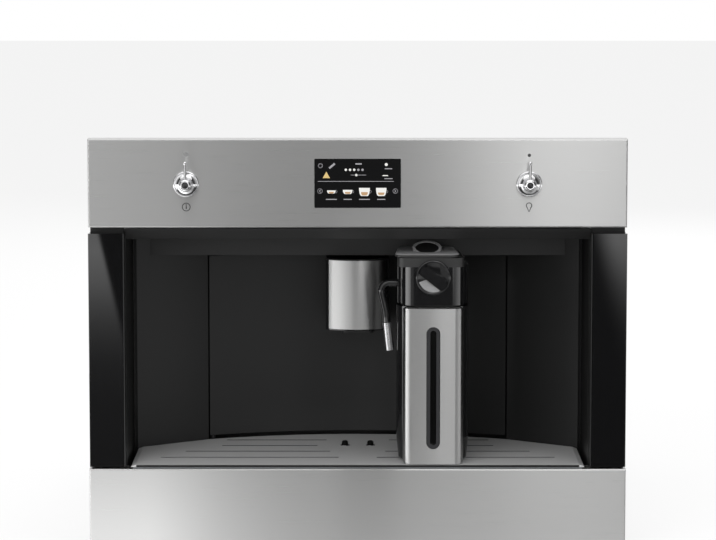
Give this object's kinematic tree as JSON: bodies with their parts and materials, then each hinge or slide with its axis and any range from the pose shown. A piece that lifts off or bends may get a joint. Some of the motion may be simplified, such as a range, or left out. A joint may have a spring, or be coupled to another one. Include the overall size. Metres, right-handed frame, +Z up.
{
  "type": "built-in coffee machine",
  "caption": "Built-in bean-to-cup coffee machine with steel control panel, recessed cup bay, height-adjustable spout, docked milk jug and drip drawer on a pull-out frame.",
  "frame": {"origin": "on the niche floor, in the plane of the cabinet's front edges, on the machine's centre line", "axes": "+X to the user's right, +Y into the cabinet, +Z up"},
  "size_m": [0.597, 0.505, 0.457],
  "materials": {
    "brushed_steel": "brushed along X",
    "steel_sheet": "zinc-plated satin sheet",
    "chrome": "polished",
    "black_glass": "gloss, opaque black print behind",
    "gloss_black": "gloss",
    "satin_black": "satin",
    "bay_grey": "satin dark grey lacquer",
    "inner_grey": "moulded, fine grain",
    "clear_plastic": "clear, gloss",
    "smoke_plastic": "smoked, gloss",
    "lamp_lens": "frosted",
    "burr_steel": "ground and hardened",
    "boiler_alloy": "cast, satin",
    "board_green": "solder-masked board",
    "silicone": "translucent grey"
  },
  "bodies": {
    "cabinet_mount": {"base_plate": "steel_sheet", "outer_rails": "steel_sheet"},
    "rail_middle": {"middle_rails": "steel_sheet"},
    "machine": {"inner_rails": "steel_sheet", "chassis_floor": "steel_sheet", "chassis_rear": "steel_sheet", "chassis_left": "steel_sheet", "chassis_right": "steel_sheet", "chassis_top": "steel_sheet", "bulkhead": "bay_grey", "front_frame": "satin_black", "control_panel": "brushed_steel", "display_glass": "black_glass", "display_board": "board_green", "knob_switches": "satin_black", "header_strip": "satin_black", "column_trims": "bay_grey", "column_glasses": "black_glass", "cavity_walls": "bay_grey", "cavity_ceiling": "bay_grey", "lamp_lenses": "lamp_lens", "back_panel_left": "bay_grey", "back_panel_right": "bay_grey", "upper_back_band": "bay_grey", "bean_hopper": "smoke_plastic", "grinder": "inner_grey", "brew_unit": "inner_grey", "grounds_container": "satin_black", "tank_seat": "inner_grey", "boiler": "boiler_alloy", "water_pump": "inner_grey", "power_board": "board_green", "mains_inlet": "satin_black"},
    "left_knob": {"left_knob": "chrome"},
    "right_knob": {"right_knob": "chrome"},
    "service_door": {"door_skin": "bay_grey", "door_frame": "satin_black", "spout_guide": "satin_black", "steam_port": "satin_black"},
    "coffee_spout": {"spout_housing": "gloss_black", "spout_cover": "brushed_steel", "spout_outlets": "satin_black"},
    "milk_jug": {"jug_container": "gloss_black", "jug_cover": "brushed_steel", "jug_window": "smoke_plastic", "jug_lid": "gloss_black", "pickup_tube": "silicone"},
    "froth_dial": {"froth_dial": "gloss_black"},
    "lid_button": {"lid_button": "satin_black"},
    "milk_spout": {"milk_tube": "gloss_black", "milk_nozzle": "chrome"},
    "drip_drawer": {"lower_fascia": "brushed_steel", "drip_basin": "inner_grey", "drip_grid": "brushed_steel"},
    "bean_lid": {"bean_lid": "satin_black"},
    "ground_flap": {"ground_flap": "satin_black"},
    "water_tank": {"water_tank": "clear_plastic", "tank_lid": "satin_black"},
    "grinder_burr": {"grinder_burr": "burr_steel"},
    "brew_piston": {"brew_piston": "satin_black"}
  },
  "joints": [
    {"name": "machine_pull", "type": "slide", "parent": "cabinet_mount", "child": "machine", "axis": [0, -1, 0], "range_m": [0, 0.33]},
    {"name": "rail_follow", "type": "slide", "parent": "cabinet_mount", "child": "rail_middle", "axis": [0, -1, 0], "range_m": [0, 0.165]},
    {"name": "left_knob_turn", "type": "hinge", "parent": "machine", "child": "left_knob", "pos_m": [-0.189, -0.022, 0.4075], "axis": [0, 1, 0], "range_deg": [0, 180]},
    {"name": "right_knob_turn", "type": "hinge", "parent": "machine", "child": "right_knob", "pos_m": [0.189, -0.022, 0.4075], "axis": [0, 1, 0], "range_deg": [0, 180]},
    {"name": "door_swing", "type": "hinge", "parent": "machine", "child": "service_door", "pos_m": [-0.1695, 0.1415, 0.203], "axis": [0, 0, -1], "range_deg": [0, 90]},
    {"name": "spout_drop", "type": "slide", "parent": "service_door", "child": "coffee_spout", "axis": [0, 0, -1], "range_m": [0, 0.06]},
    {"name": "jug_pull", "type": "slide", "parent": "service_door", "child": "milk_jug", "axis": [0, -1, 0], "range_m": [0, 0.12]},
    {"name": "dial_turn", "type": "hinge", "parent": "milk_jug", "child": "froth_dial", "pos_m": [0.084, -0.008, 0.3022], "axis": [0, 1, 0], "range_deg": [0, 76]},
    {"name": "button_press", "type": "slide", "parent": "milk_jug", "child": "lid_button", "axis": [0, 0.3665, -0.9304], "range_m": [0, 0.003], "stiffness_N_per_m": 400, "springref_m": -0.002},
    {"name": "milk_spout_tilt", "type": "hinge", "parent": "milk_jug", "child": "milk_spout", "pos_m": [0.049, 0.028, 0.2911], "axis": [-1, 0, 0], "range_deg": [0, 90]},
    {"name": "drawer_pull", "type": "slide", "parent": "machine", "child": "drip_drawer", "axis": [0, -1, 0], "range_m": [0, 0.2]},
    {"name": "bean_lid_turn", "type": "hinge", "parent": "machine", "child": "bean_lid", "pos_m": [0.06, 0.327, 0.4192], "axis": [-1, 0, 0], "range_deg": [0, 100]},
    {"name": "ground_flap_turn", "type": "hinge", "parent": "machine", "child": "ground_flap", "pos_m": [-0.046, 0.295, 0.4192], "axis": [-1, 0, 0], "range_deg": [0, 100]},
    {"name": "tank_lift", "type": "slide", "parent": "machine", "child": "water_tank", "axis": [0, 0, 1], "range_m": [0, 0.25]},
    {"name": "burr_spin", "type": "hinge", "parent": "machine", "child": "grinder_burr", "pos_m": [0.06, 0.267, 0.3296], "axis": [0, 0, 1], "continuous": true},
    {"name": "piston_lift", "type": "slide", "parent": "machine", "child": "brew_piston", "axis": [0, 0, 1], "range_m": [0, 0.02]}
  ],
  "couplings": [
    {"joint": "rail_follow", "follows": "machine_pull", "ratio": 0.5}
  ]
}
